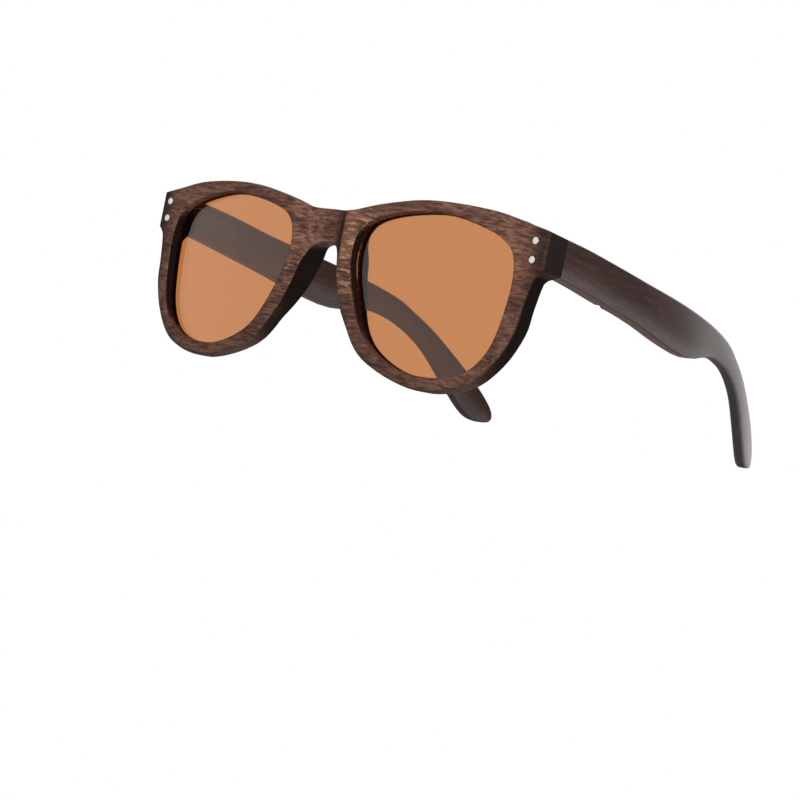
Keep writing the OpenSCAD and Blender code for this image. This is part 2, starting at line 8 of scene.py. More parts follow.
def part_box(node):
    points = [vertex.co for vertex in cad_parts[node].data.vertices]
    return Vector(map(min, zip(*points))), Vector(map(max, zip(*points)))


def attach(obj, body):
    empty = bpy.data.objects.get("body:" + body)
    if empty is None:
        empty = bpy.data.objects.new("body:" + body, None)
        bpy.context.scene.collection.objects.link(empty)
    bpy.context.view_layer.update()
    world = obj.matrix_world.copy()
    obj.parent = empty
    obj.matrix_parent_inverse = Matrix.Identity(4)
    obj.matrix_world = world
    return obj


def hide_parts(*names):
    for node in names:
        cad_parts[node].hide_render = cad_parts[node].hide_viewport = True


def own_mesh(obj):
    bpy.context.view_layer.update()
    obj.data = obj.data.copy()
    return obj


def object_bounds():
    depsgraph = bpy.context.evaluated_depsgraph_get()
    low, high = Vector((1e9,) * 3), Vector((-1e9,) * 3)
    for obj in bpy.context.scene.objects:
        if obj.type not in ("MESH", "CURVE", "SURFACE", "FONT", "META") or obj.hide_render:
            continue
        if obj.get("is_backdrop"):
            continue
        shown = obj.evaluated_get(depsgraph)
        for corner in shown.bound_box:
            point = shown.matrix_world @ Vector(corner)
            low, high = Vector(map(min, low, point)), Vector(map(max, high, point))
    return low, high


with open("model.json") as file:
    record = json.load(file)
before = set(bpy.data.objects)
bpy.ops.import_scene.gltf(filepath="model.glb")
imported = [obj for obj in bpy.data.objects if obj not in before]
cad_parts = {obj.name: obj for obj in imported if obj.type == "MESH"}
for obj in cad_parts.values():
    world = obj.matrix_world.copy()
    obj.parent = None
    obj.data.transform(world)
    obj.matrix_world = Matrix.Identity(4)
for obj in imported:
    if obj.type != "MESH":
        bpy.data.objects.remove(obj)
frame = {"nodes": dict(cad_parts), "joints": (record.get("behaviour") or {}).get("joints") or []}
nodes = frame["nodes"]
cad_low, cad_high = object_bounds()


# The front: one milled board of dark wood with both rims, the bridge and the two end pieces.
# Its grain runs from hinge to hinge. Faces along the grain are sanded and oiled to a warm brown,
# and walls cut across the grain are darker end grain, with painted shade that makes them nearly black.
MM = 0.001
SOFT_EDGE_ANGLE = math.radians(38)
MERGE_DISTANCE = 0.001 * MM


def copied(source, name):
    """A copy of a piece with its own mesh."""
    piece = bpy.data.objects.new(name, source.data.copy())
    piece.data.name = name
    bpy.context.scene.collection.objects.link(piece)
    return piece


def bench_copy(node_name, piece_name, merge=MERGE_DISTANCE):
    """A merged copy of a node for a finer finish, shaded smooth up to its real edges."""
    bpy.ops.object.select_all(action="DESELECT")
    piece = copied(nodes[node_name], piece_name)
    piece.data.materials.clear()
    bpy.context.view_layer.objects.active = piece
    piece.select_set(True)
    bpy.ops.mesh.customdata_custom_splitnormals_clear()
    bpy.ops.object.mode_set(mode="EDIT")
    bpy.ops.mesh.select_all(action="SELECT")
    bpy.ops.mesh.remove_doubles(threshold=merge)
    bpy.ops.object.mode_set(mode="OBJECT")
    bpy.ops.object.shade_smooth_by_angle(angle=SOFT_EDGE_ANGLE)
    return piece


def select_faces(piece, wanted):
    """In edit mode, selects only the faces whose centre and normal are wanted."""
    bpy.ops.mesh.select_mode(type="FACE")
    bpy.ops.mesh.select_all(action="DESELECT")
    bpy.ops.object.mode_set(mode="OBJECT")
    for face in piece.data.polygons:
        face.select = wanted(face.center, face.normal)
    bpy.ops.object.mode_set(mode="EDIT")


def linear(red, green, blue):
    """A colour as seen on a screen, from 0 to 255, as the linear colour that a shader takes."""
    shares = [value / 255 for value in (red, green, blue)]
    return (*[s / 12.92 if s <= 0.04045 else ((s + 0.055) / 1.055) ** 2.4 for s in shares], 1.0)


def add(tree, kind, **settings):
    """A new shader node with its settings."""
    made = tree.nodes.new("ShaderNode" + kind)
    for name, value in settings.items():
        setattr(made, name, value)
    return made


def feed(tree, socket, value):
    """Gives a socket the output of another node, or a plain value."""
    if isinstance(value, bpy.types.NodeSocket):
        tree.links.new(value, socket)
    else:
        socket.default_value = value


def maths(tree, operation, *values):
    """A Math node on sockets or plain numbers, as its output socket."""
    made = add(tree, "Math", operation=operation)
    for socket, value in zip(made.inputs, values):
        feed(tree, socket, value)
    return made.outputs[0]


def times(tree, product, *others):
    """The product of sockets and plain numbers."""
    for value in others:
        product = maths(tree, "MULTIPLY", product, value)
    return product


def all_but(tree, share):
    """What a share leaves of the whole."""
    return maths(tree, "SUBTRACT", 1, share)


def fade(tree, value, start, end):
    """A soft step from 0 at start to 1 at end."""
    made = add(tree, "MapRange", interpolation_type="SMOOTHSTEP")
    tree.links.new(value, made.inputs["Value"])
    made.inputs["From Min"].default_value = start
    made.inputs["From Max"].default_value = end
    return made.outputs["Result"]


def strip(tree, value, start, full, thin, end):
    """A soft strip: 0 up to start, 1 from full to thin, and 0 again from end on."""
    return times(tree, fade(tree, value, start, full), all_but(tree, fade(tree, value, thin, end)))


def blended(tree, share, under, over):
    """Colour under, covered by colour over as far as share says."""
    made = add(tree, "Mix", data_type="RGBA")
    for name, value in (("Factor_Float", share), ("A_Color", under), ("B_Color", over)):
        feed(tree, next(s for s in made.inputs if s.identifier == name), value)
    return next(s for s in made.outputs if s.identifier == "Result_Color")


def stretched_noise(tree, place, stretch, scale, detail):
    """Noise that is drawn out along the first axis."""
    drawn = add(tree, "VectorMath", operation="MULTIPLY")
    tree.links.new(place, drawn.inputs[0])
    drawn.inputs[1].default_value = (1 / stretch, 1, 1)
    noise = add(tree, "TexNoise")
    tree.links.new(drawn.outputs[0], noise.inputs["Vector"])
    noise.inputs["Scale"].default_value = scale
    noise.inputs["Detail"].default_value = detail
    return noise.outputs["Fac"]


# Wood grain, shared by the front and the temples. Place has the grain along its first axis, in metres.
# Each layer has how far it is drawn out along the grain, how fine it is and how much detail it has.
GRAIN_LAYERS = {
    "bands": (7, 190, 2),
    "streaks": (8, 1300, 2),
    "fibres": (10, 3000, 2),
    "pores": (11, 2800, 1),
    "ripple": (5, 1500, 2),
}
TONE_SHARES = {"bands": 0.3, "streaks": 0.45, "fibres": 0.25}
PORE_EDGE = (0.57, 0.7)
RIPPLE_EDGE = (0.5, 0.68)
FIBRE_RELIEF = 0.5
grain = bpy.data.node_groups.new("board_grain", "ShaderNodeTree")
grain.interface.new_socket("Place", in_out="INPUT", socket_type="NodeSocketVector")
for output in ("Tone", "Pores", "Ripple", "Relief"):
    grain.interface.new_socket(output, in_out="OUTPUT", socket_type="NodeSocketFloat")
grain_in = grain.nodes.new("NodeGroupInput")
grain_out = grain.nodes.new("NodeGroupOutput")
layers = {
    name: stretched_noise(grain, grain_in.outputs["Place"], *values)
    for name, values in GRAIN_LAYERS.items()
}
tone = 0
for name, share in TONE_SHARES.items():
    tone = maths(grain, "ADD", tone, times(grain, layers[name], share))
pores = fade(grain, layers["pores"], *PORE_EDGE)
ripple = fade(grain, layers["ripple"], *RIPPLE_EDGE)
relief = maths(grain, "SUBTRACT", times(grain, layers["fibres"], FIBRE_RELIEF), pores)
for name, socket in (("Tone", tone), ("Pores", pores), ("Ripple", ripple), ("Relief", relief)):
    grain.links.new(socket, grain_out.inputs[name])

TONE_STOPS = (0.38, 0.5, 0.63)
# The pore colour is also laid over the lower curves of the front as painted shade.
PORE_AND_SHADE_COLOUR = linear(30, 18, 15)
PORE_COVER = 0.55
PORE_DEPTH = 0.08 * MM
GLOSS_UNEVEN = 0.2
END_ROUGHER = 0.34
END_GRAIN_AND_SHADE_COVER = 0.97


class OiledWood:
    """Oiled wood with its grain turned by grain_turn, from a dark, a middle and a pale tone."""

    def __init__(self, name, grain_turn, tones, roughness, relief):
        self.material = bpy.data.materials.new(name)
        self.material.use_nodes = True
        self.tree = tree = self.material.node_tree
        self.shader = tree.nodes["Principled BSDF"]
        self.roughness = roughness
        self.relief = relief
        self.spot = add(tree, "TexCoord").outputs
        self.place = self.parts(self.spot["Object"])
        self.facing = self.parts(self.turn(self.spot["Normal"], grain_turn))
        self.across = maths(tree, "ABSOLUTE", self.facing["X"])
        self.sawn = 0

        self.board = add(tree, "Group", node_tree=grain)
        tree.links.new(self.turn(self.spot["Object"], grain_turn), self.board.inputs["Place"])
        ramp = add(tree, "ValToRGB")
        stops = ramp.color_ramp.elements
        stops[0].position, stops[1].position = TONE_STOPS[0], TONE_STOPS[2]
        stops[0].color, stops[1].color = tones[0], tones[2]
        stops.new(TONE_STOPS[1]).color = tones[1]
        tree.links.new(self.board.outputs["Tone"], ramp.inputs["Fac"])
        self.colour = ramp.outputs["Color"]

    def turn(self, vector, angles):
        """A vector turned so that the grain lies along its first axis."""
        made = add(self.tree, "Mapping", vector_type="POINT")
        made.inputs["Rotation"].default_value = angles
        self.tree.links.new(vector, made.inputs["Vector"])
        return made.outputs["Vector"]

    def parts(self, vector):
        """The X, Y and Z of a vector."""
        made = add(self.tree, "SeparateXYZ")
        self.tree.links.new(vector, made.inputs["Vector"])
        return made.outputs

    def cover(self, share, colour):
        """Lays a colour over what is there, as far as share says."""
        self.colour = blended(self.tree, share, self.colour, colour)

    def finish(self, end_and_shade_colour, end_facing):
        """The pores, the end grain with the painted shade that it carries on the front, the gloss and the
        relief of an oiled surface.
        """
        tree = self.tree
        self.cover(times(tree, self.board.outputs["Pores"], PORE_COVER), PORE_AND_SHADE_COLOUR)
        end_grain_and_shade = fade(tree, self.across, *end_facing)
        self.cover(times(tree, end_grain_and_shade, END_GRAIN_AND_SHADE_COVER), end_and_shade_colour)
        tree.links.new(self.colour, self.shader.inputs["Base Color"])
        uneven = times(tree, self.board.outputs["Tone"], GLOSS_UNEVEN)
        dry = times(tree, maths(tree, "MAXIMUM", end_grain_and_shade, self.sawn), END_ROUGHER)
        rough = maths(tree, "ADD", maths(tree, "ADD", uneven, dry), self.roughness - GLOSS_UNEVEN / 2)
        tree.links.new(rough, self.shader.inputs["Roughness"])
        bump = add(tree, "Bump")
        bump.inputs["Strength"].default_value = self.relief
        bump.inputs["Distance"].default_value = PORE_DEPTH
        tree.links.new(self.board.outputs["Relief"], bump.inputs["Height"])
        tree.links.new(bump.outputs["Normal"], self.shader.inputs["Normal"])


FRONT_TONES = (linear(67, 45, 39), linear(100, 69, 59), linear(137, 101, 85))
FRONT_ROUGHNESS = 0.56
FRONT_RELIEF = 0.5
FRONT_GLOSS = 0.1
front_wood = OiledWood("front_wood", (0, 0, 0), FRONT_TONES, FRONT_ROUGHNESS, FRONT_RELIEF)
front_wood.shader.inputs["Specular IOR Level"].default_value = FRONT_GLOSS
tree = front_wood.tree
front_x, front_z = front_wood.place["X"], front_wood.place["Z"]
sideways = maths(tree, "ABSOLUTE", front_x)
# Rippled figure shows on both sides of the carved hollow of the bridge. The extra ripple on the wearer's
# left is painted highlight, on the side that faces the key light.
RIPPLE_AND_HIGHLIGHT_COLOUR = linear(186, 136, 106)
RIPPLE_ACROSS = (6.4 * MM, 7.4 * MM, 12 * MM, 20 * MM)
RIPPLE_UP = (16 * MM, 32 * MM)
RIPPLE_CHANGE = (-2 * MM, 2 * MM)
RIPPLE_RIGHT, RIPPLE_LEFT_HIGHLIGHT, RIPPLE_ELSEWHERE = 0.45, 0.5, 0.2
left_highlight = times(tree, fade(tree, front_x, *RIPPLE_CHANGE), RIPPLE_LEFT_HIGHLIGHT)
beside = times(
    tree,
    strip(tree, sideways, *RIPPLE_ACROSS),
    fade(tree, front_z, *RIPPLE_UP),
    maths(tree, "ADD", left_highlight, RIPPLE_RIGHT),
)
amount = maths(tree, "ADD", beside, RIPPLE_ELSEWHERE)
front_wood.cover(times(tree, amount, front_wood.board.outputs["Ripple"]), RIPPLE_AND_HIGHLIGHT_COLOUR)
# The ridge beside the hollow on the wearer's left is painted paler, as a highlight on the side that faces
# the key light.
RIDGE_ACROSS = (6.4 * MM, 7.4 * MM, 9 * MM, 14 * MM)
RIDGE_UP = (28 * MM, 34 * MM)
RIDGE_HIGHLIGHT_COVER = 0.2
ridge_highlight = times(tree, strip(tree, front_x, *RIDGE_ACROSS), fade(tree, front_z, *RIDGE_UP))
front_wood.cover(times(tree, ridge_highlight, RIDGE_HIGHLIGHT_COVER), RIPPLE_AND_HIGHLIGHT_COLOUR)
# The outermost strip of both end pieces is painted darker than the rest of the face, as shade.
END_GRAIN_AND_SHADE_COLOUR = linear(13, 9, 7)
END_PIECE_SHADE = (64 * MM, 71 * MM)
END_PIECE_SHADE_COVER = 0.75
front_wood.cover(times(tree, fade(tree, sideways, *END_PIECE_SHADE), END_PIECE_SHADE_COVER), END_GRAIN_AND_SHADE_COLOUR)
# The lower curves of the rims are painted a little darker than the upper ones, as shade.
LOW_CURVES_SHADE = (20 * MM, 4 * MM)
LOW_CURVES_SHADE_COVER = 0.28
front_wood.cover(times(tree, fade(tree, front_z, *LOW_CURVES_SHADE), LOW_CURVES_SHADE_COVER), PORE_AND_SHADE_COLOUR)
# The end grain mask is taken at a slant to the board, so that it paints shade on one flank of the hollow
# and not on the other.
FLANK_SHADE_SLANT = math.radians(18)
slanted_for_shade = front_wood.parts(front_wood.turn(front_wood.spot["Normal"], (0, 0, -FLANK_SHADE_SLANT)))
front_wood.across = maths(tree, "ABSOLUTE", slanted_for_shade["X"])
# The flat outer ends of both end pieces get less of the painted shade than the walls of the openings, and
# are less black.
OUTER_END_COLOUR = linear(36, 28, 26)
OUTER_END = (70.6 * MM, 71.6 * MM)
FRONT_END_FACING = (0.42, 0.85)
outermost = fade(tree, sideways, *OUTER_END)
front_wood.finish(blended(tree, outermost, END_GRAIN_AND_SHADE_COLOUR, OUTER_END_COLOUR), FRONT_END_FACING)

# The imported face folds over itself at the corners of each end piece. There its points are drawn together.
FOLD_X, FOLD_Z, FOLD_Y = (62 * MM, 71.95 * MM), (34 * MM, 46.5 * MM), -67.9 * MM
FOLD_FACING = 0.02
FOLD_ROUNDS = 3
FRONT_MERGE = 0.02 * MM
FOLD_MERGE = 0.45 * MM
GAP_MERGE = 0.2 * MM
SPECK = 0.002 * MM


def folded_over(centre, normal):
    """Whether a face of the end pieces' front looks backwards."""
    return (
        normal.y > FOLD_FACING
        and FOLD_X[0] < abs(centre.x) < FOLD_X[1]
        and FOLD_Z[0] < centre.z < FOLD_Z[1]
        and centre.y < FOLD_Y
    )


front = bench_copy("front_frame", "front_board", FRONT_MERGE)
bpy.ops.object.mode_set(mode="EDIT")
for _ in range(FOLD_ROUNDS):
    select_faces(front, folded_over)
    bpy.ops.mesh.remove_doubles(threshold=FOLD_MERGE)
    bpy.ops.mesh.select_mode(type="VERT")
    bpy.ops.mesh.select_all(action="DESELECT")
    bpy.ops.mesh.select_non_manifold()
    bpy.ops.mesh.remove_doubles(threshold=GAP_MERGE)
    bpy.ops.mesh.select_all(action="SELECT")
    bpy.ops.mesh.dissolve_degenerate(threshold=SPECK)
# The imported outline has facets. Its walls and rounded edges are drawn out smooth between their corners.
# Both end pieces are flat and stay as they are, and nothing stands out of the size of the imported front.
WALL_FACING = 0.9
END_PIECE_FROM = 61.5 * MM
select_faces(
    front, lambda centre, normal: abs(normal.y) < WALL_FACING and abs(centre.x) < END_PIECE_FROM
)
bpy.ops.mesh.subdivide(number_cuts=1, smoothness=1, ngon=False)
bpy.ops.object.mode_set(mode="OBJECT")
front_low, front_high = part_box("front_frame")
for point in front.data.vertices:
    for axis in range(3):
        point.co[axis] = min(max(point.co[axis], front_low[axis]), front_high[axis])
bpy.ops.object.shade_smooth_by_angle(angle=SOFT_EDGE_ANGLE)
front.data.materials.append(front_wood.material)
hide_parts("front_frame")
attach(front, "front")


# The lenses: brown tinted plates with a polished face, wrapped like the front and set in its groove.
# The tint takes most of the blue, and the polish mirrors a little of the room.
SIDES = {"left": 1, "right": -1}
LENS_TINT = (0.55, 0.205, 0.06, 1)
LENS_INDEX = 1.55
lens_glass = bpy.data.materials.new("lens_tint")
lens_glass.use_nodes = True
lens_shader = lens_glass.node_tree.nodes["Principled BSDF"]
lens_shader.inputs["Base Color"].default_value = LENS_TINT
lens_shader.inputs["Transmission Weight"].default_value = 1
lens_shader.inputs["Roughness"].default_value = 0
lens_shader.inputs["IOR"].default_value = LENS_INDEX
for side in SIDES:
    lens = bench_copy(f"{side}_lens", f"{side}_lens_plate")
    lens.data.materials.append(lens_glass)
    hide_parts(f"{side}_lens")
    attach(lens, "front")


# The rivets: two bright pins in each end piece, with low domed heads in a countersink, that go through
# to the hinge leaf and are peened flat behind it. The gloss of the metal is a little uneven.
METAL_GRAIN = (6, 9000, 2)
METAL_MARKS = (0.3, 0.8)
METAL_DARKER = 0.7
METAL_UNEVEN = 0.16
ROUND_SIDES = 40
SAME_HEIGHT = 0.001 * MM
END_FACING = 0.9


def metal_material(name, colour, roughness):
    """Polished or plated metal with fine uneven gloss."""
    material = bpy.data.materials.new(name)
    material.use_nodes = True
    tree = material.node_tree
    shader = tree.nodes["Principled BSDF"]
    shader.inputs["Metallic"].default_value = 1
    marks = stretched_noise(tree, add(tree, "TexCoord").outputs["Object"], *METAL_GRAIN)
    darker = [METAL_DARKER * share for share in colour[:3]] + [1]
    marked = blended(tree, fade(tree, marks, *METAL_MARKS), colour, darker)
    tree.links.new(marked, shader.inputs["Base Color"])
    rough = maths(tree, "ADD", roughness - METAL_UNEVEN / 2, times(tree, marks, METAL_UNEVEN))
    tree.links.new(rough, shader.inputs["Roughness"])
    return material


def new_round(name, radius, low, high):
    """A round bar along z in edit mode, from low to high."""
    bpy.ops.object.select_all(action="DESELECT")
    bpy.ops.mesh.primitive_cylinder_add(
        radius=radius, depth=high - low, vertices=ROUND_SIDES, location=(0, 0, (low + high) / 2)
    )
    piece = bpy.context.object
    piece.name = piece.data.name = name
    bpy.ops.object.transform_apply(location=True, rotation=True, scale=True)
    bpy.ops.object.mode_set(mode="EDIT")
    return piece


def step_out(piece, z, thickness, depth):
    """Insets the end face at height z and moves it out by depth."""
    select_faces(piece, lambda at, facing: abs(at.z - z) < SAME_HEIGHT and abs(facing.z) > END_FACING)
    bpy.ops.mesh.inset(thickness=thickness, depth=depth)


def dome(piece, z, steps):
    """Draws the end face at height z out into a low dome, one inset and rise after the other."""
    for inset, rise in steps:
        step_out(piece, z, inset, rise)
        z += rise


def close_round():
    """Turns all faces of the piece in edit mode outwards, and leaves edit mode."""
    bpy.ops.mesh.select_all(action="SELECT")
    bpy.ops.mesh.normals_make_consistent(inside=False)
    bpy.ops.object.mode_set(mode="OBJECT")


def settle(piece, matrix):
    """Moves a finished piece to its place and keeps that place in its mesh."""
    bpy.ops.object.select_all(action="DESELECT")
    piece.select_set(True)
    bpy.context.view_layer.objects.active = piece
    piece.matrix_world = matrix
    bpy.ops.object.transform_apply(location=True, rotation=True, scale=True)
    bpy.ops.object.shade_smooth_by_angle(angle=SOFT_EDGE_ANGLE)


bright_metal = metal_material("bright_steel", linear(232, 228, 224), 0.3)
RIVET_HEAD_R = 1.0 * MM
RIVET_PROUD = 0.25 * MM
RIVET_HEAD_L = 0.4 * MM
RIVET_COLLAR = -0.15 * MM
RIVET_DOME = (
    (0.056 * MM, 0.31 * MM),
    (0.084 * MM, 0.06 * MM),
    (0.3 * MM, 0.02 * MM),
    (0.3 * MM, 0.01 * MM),
)
RIVET_SHANK_R = 0.6 * MM
low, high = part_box("left_rivets")
shank_l = high.y - low.y - RIVET_PROUD - RIVET_HEAD_L
rivet_pattern = new_round("rivet_pattern", RIVET_HEAD_R, -RIVET_HEAD_L, RIVET_COLLAR)
dome(rivet_pattern, RIVET_COLLAR, RIVET_DOME)
step_out(rivet_pattern, -RIVET_HEAD_L, RIVET_HEAD_R - RIVET_SHANK_R, 0)
bpy.ops.mesh.extrude_region_move(TRANSFORM_OT_translate={"value": (0, 0, -shank_l)})
close_round()
for side in SIDES:
    low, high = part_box(f"{side}_rivets")
    for name, height in (("lower", low.z + RIVET_HEAD_R), ("upper", high.z - RIVET_HEAD_R)):
        rivet = copied(rivet_pattern, f"{side}_rivet_{name}")
        centre = Vector(((low.x + high.x) / 2, low.y + RIVET_PROUD, height))
        settle(rivet, Matrix.Translation(centre) @ Matrix.Rotation(math.pi / 2, 4, "X"))
        rivet.data.materials.append(bright_metal)
        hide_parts(f"{side}_rivets")
        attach(rivet, "front")
bpy.data.meshes.remove(rivet_pattern.data)


# The hinges: a plated leaf with one knuckle on the front, and a fork on a sprung slider in the temple's
# spring box. These pieces have their edges broken, and the pivot and box screws have slotted heads.
joints = {joint["name"]: joint for joint in frame["joints"]}
dark_metal = metal_material("plated_steel", linear(122, 120, 120), 0.34)
FLAT_ANGLE = math.radians(1)
EDGE_BREAK = 0.1 * MM
EDGE_BREAK_ANGLE = math.radians(50)
HINGE_BODIES = {"hinge_leaf": "front", "slider": "fork", "spring_box": "arm"}
for side in SIDES:
    for kind, body in HINGE_BODIES.items():
        piece = bench_copy(f"{side}_{kind}", f"{side}_{kind}_metal")
        bpy.ops.object.mode_set(mode="EDIT")
        bpy.ops.mesh.select_all(action="SELECT")
        bpy.ops.mesh.dissolve_limited(angle_limit=FLAT_ANGLE)
        bpy.ops.object.mode_set(mode="OBJECT")
        edges = piece.modifiers.new("broken_edges", "BEVEL")
        edges.width = EDGE_BREAK
        edges.segments = 2
        edges.limit_method = "ANGLE"
        edges.angle_limit = EDGE_BREAK_ANGLE
        bpy.ops.object.modifier_apply(modifier=edges.name)
        bpy.ops.object.shade_smooth_by_angle(angle=SOFT_EDGE_ANGLE)
        piece.data.materials.append(dark_metal)
        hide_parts(f"{side}_{kind}")
        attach(piece, body if body == "front" else f"{side}_{body}")
    nodes[f"{side}_spring_stop"].data.materials.clear()
    nodes[f"{side}_spring_stop"].data.materials.append(bright_metal)
    # The coil sits against the stop on the slider, and moves with the fork at its full length.
    spring = bench_copy(f"{side}_spring", f"{side}_spring_wire")
    spring.data.materials.append(bright_metal)
    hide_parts(f"{side}_spring")
    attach(spring, f"{side}_fork")
    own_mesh(spring)

# A screw's head is a low dome on a straight collar, and its shank ends in a blunt point. These are
# shares of the head's height and radius, and of the shank's radius.
HEAD_COLLAR = 0.5
HEAD_DOME = ((0.16, 0.3), (0.34, 0.2))
SHANK_POINT = 0.2
SLOT_DEEP = 0.25 * MM


def slotted_screw(name, shank_r, shank_l, head_r, head_h, slot_w):
    """A screw along z with its head above zero: a low domed head with a sawn slot, and a plain shank."""
    screw = new_round(name, head_r, 0, HEAD_COLLAR * head_h)
    dome(screw, HEAD_COLLAR * head_h, [(inset * head_r, rise * head_h) for inset, rise in HEAD_DOME])
    step_out(screw, 0, head_r - shank_r, 0)
    point = SHANK_POINT * shank_r
    bpy.ops.mesh.extrude_region_move(TRANSFORM_OT_translate={"value": (0, 0, point - shank_l)})
    bpy.ops.mesh.inset(thickness=point, depth=point)
    close_round()
    bpy.ops.object.select_all(action="DESELECT")
    bpy.ops.mesh.primitive_cube_add(size=1, location=(0, 0, head_h))
    saw = bpy.context.object
    saw.scale = (4 * head_r, slot_w, 2 * SLOT_DEEP)
    bpy.ops.object.transform_apply(location=True, rotation=True, scale=True)
    cut = screw.modifiers.new("slot", "BOOLEAN")
    cut.operation = "DIFFERENCE"
    cut.solver = "EXACT"
    cut.object = saw
    bpy.context.view_layer.objects.active = screw
    bpy.ops.object.modifier_apply(modifier=cut.name)
    bpy.data.meshes.remove(saw.data)
    return screw


PIVOT_R = 0.6 * MM
PIVOT_HEAD_R = 0.96 * MM
PIVOT_HEAD_H = 0.5 * MM
PIVOT_SLOT_W = 0.3 * MM
PIVOT_SLOT_TURN = 0.6
STACK_H = 4.2 * MM
BOX_SCREW_R = 0.6 * MM
BOX_SCREW_L = 3 * MM
BOX_SCREW_HEAD_R = 1.05 * MM
BOX_SCREW_HEAD_H = 0.5 * MM
BOX_SCREW_SLOT_W = 0.32 * MM
BOX_SCREW_X = 0.8 * MM
BOX_SCREW_PLACES = {"front": 14.35 * MM, "rear": 16.95 * MM}
along = Vector(joints["left_flex"]["axis"])
TEMPLE_TILT = math.atan2(-along.z, along.y)
pivot_pattern = slotted_screw("pivot_pattern", PIVOT_R, STACK_H, PIVOT_HEAD_R, PIVOT_HEAD_H, PIVOT_SLOT_W)
box_screw_pattern = slotted_screw(
    "box_screw_pattern", BOX_SCREW_R, BOX_SCREW_L, BOX_SCREW_HEAD_R, BOX_SCREW_HEAD_H, BOX_SCREW_SLOT_W
)
for side, sign in SIDES.items():
    hinge_spot = Matrix.Translation(joints[f"{side}_fold"]["pos_m"]) @ Matrix.Rotation(-TEMPLE_TILT, 4, "X")
    pivot = copied(pivot_pattern, f"{side}_pivot")
    slot_turn = Matrix.Rotation(PIVOT_SLOT_TURN * sign, 4, "Z")
    settle(pivot, hinge_spot @ Matrix.Translation((0, 0, STACK_H / 2)) @ slot_turn)
    pivot.data.materials.append(bright_metal)
    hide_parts(f"{side}_pivot_screw")
    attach(pivot, f"{side}_fork")
    for name, distance in BOX_SCREW_PLACES.items():
        screw = copied(box_screw_pattern, f"{side}_box_screw_{name}")
        inwards = Matrix.Rotation(-sign * math.pi / 2, 4, "Y")
        settle(screw, hinge_spot @ Matrix.Translation((sign * BOX_SCREW_X, distance, 0)) @ inwards)
        screw.data.materials.append(dark_metal)
        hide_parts(f"{side}_box_screws")
        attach(screw, f"{side}_arm")
for pattern in (pivot_pattern, box_screw_pattern):
    bpy.data.meshes.remove(pattern.data)


# The temples: laminated wood, straight behind the hinge, bent inward and hooked down behind the ear.
# The outer plies are dark, and the paler plies between them show on the edges, made paler still by painted
# bounce light from below.
TEMPLE_TONES = (linear(45, 26, 21), linear(57, 34, 27), linear(72, 44, 35))
TEMPLE_TURN = (TEMPLE_TILT, 0, -math.pi / 2)
TEMPLE_ROUGHNESS = 0.32
TEMPLE_RELIEF = 0.1
temple_wood = OiledWood("temple_wood", TEMPLE_TURN, TEMPLE_TONES, TEMPLE_ROUGHNESS, TEMPLE_RELIEF)
tree = temple_wood.tree
temple_x, temple_y, temple_z = (temple_wood.place[axis] for axis in "XYZ")
# A ply lies at one depth below the outer face, which is bowed behind the straight part.
BOW_R = 300 * MM
BOW_START = -30.236 * MM
EDGE_FACING = (0.45, 0.8)
behind = maths(tree, "MAXIMUM", 0, maths(tree, "SUBTRACT", temple_y, BOW_START))
chord = maths(tree, "SQRT", maths(tree, "SUBTRACT", BOW_R**2, times(tree, behind, behind)))
outer = maths(tree, "ADD", chord, cad_high.x - BOW_R)
depth = maths(tree, "SUBTRACT", outer, maths(tree, "ABSOLUTE", temple_x))
on_edge = all_but(tree, fade(tree, maths(tree, "ABSOLUTE", temple_wood.facing["Y"]), *EDGE_FACING))
# Two pale plies with a dark glue line between them, paler from painted bounce light from below, fade out
# towards the hook, whose edges are painted dark grey as shade.
PLY_AND_BOUNCE_COLOUR = linear(118, 78, 50)
PLY_AND_BOUNCE_COVER = 0.75
PLY_FROM, PLY_TO, PLY_SOFT = 1.3 * MM, 4.4 * MM, 0.15 * MM
GLUE_COLOUR = linear(52, 36, 30)
GLUE_COVER = 0.7
GLUE_HALF = (0.05 * MM, 0.16 * MM)
HOOK_EDGE_SHADE_COLOUR = linear(34, 29, 28)
HOOK_EDGE_SHADE = (2 * MM, 26 * MM)
plies_and_bounce = strip(tree, depth, PLY_FROM, PLY_FROM + PLY_SOFT, PLY_TO - PLY_SOFT, PLY_TO)
temple_wood.cover(times(tree, plies_and_bounce, on_edge, PLY_AND_BOUNCE_COVER), PLY_AND_BOUNCE_COLOUR)
from_glue = maths(tree, "ABSOLUTE", maths(tree, "SUBTRACT", depth, (PLY_FROM + PLY_TO) / 2))
glue = all_but(tree, fade(tree, from_glue, *GLUE_HALF))
temple_wood.cover(times(tree, glue, on_edge, GLUE_COVER), GLUE_COLOUR)
temple_wood.cover(times(tree, on_edge, fade(tree, temple_y, *HOOK_EDGE_SHADE)), HOOK_EDGE_SHADE_COLOUR)
# The notch in the inner lower edge is painted black inside, as shade in the recess.
NOTCH_SHADE_COLOUR = linear(12, 8, 7)
NOTCH_Y, NOTCH_Z, NOTCH_DEPTH = -35.81 * MM, 31.09 * MM, 4.0 * MM
NOTCH_RIM = (1.7 * MM, 2.0 * MM)
notch_y = maths(tree, "SUBTRACT", temple_y, NOTCH_Y)
notch_z = maths(tree, "SUBTRACT", temple_z, NOTCH_Z)
squares = maths(tree, "ADD", times(tree, notch_y, notch_y), times(tree, notch_z, notch_z))
notch_shade = all_but(tree, fade(tree, maths(tree, "SQRT", squares), *NOTCH_RIM))
temple_wood.cover(times(tree, notch_shade, maths(tree, "GREATER_THAN", depth, NOTCH_DEPTH)), NOTCH_SHADE_COLOUR)
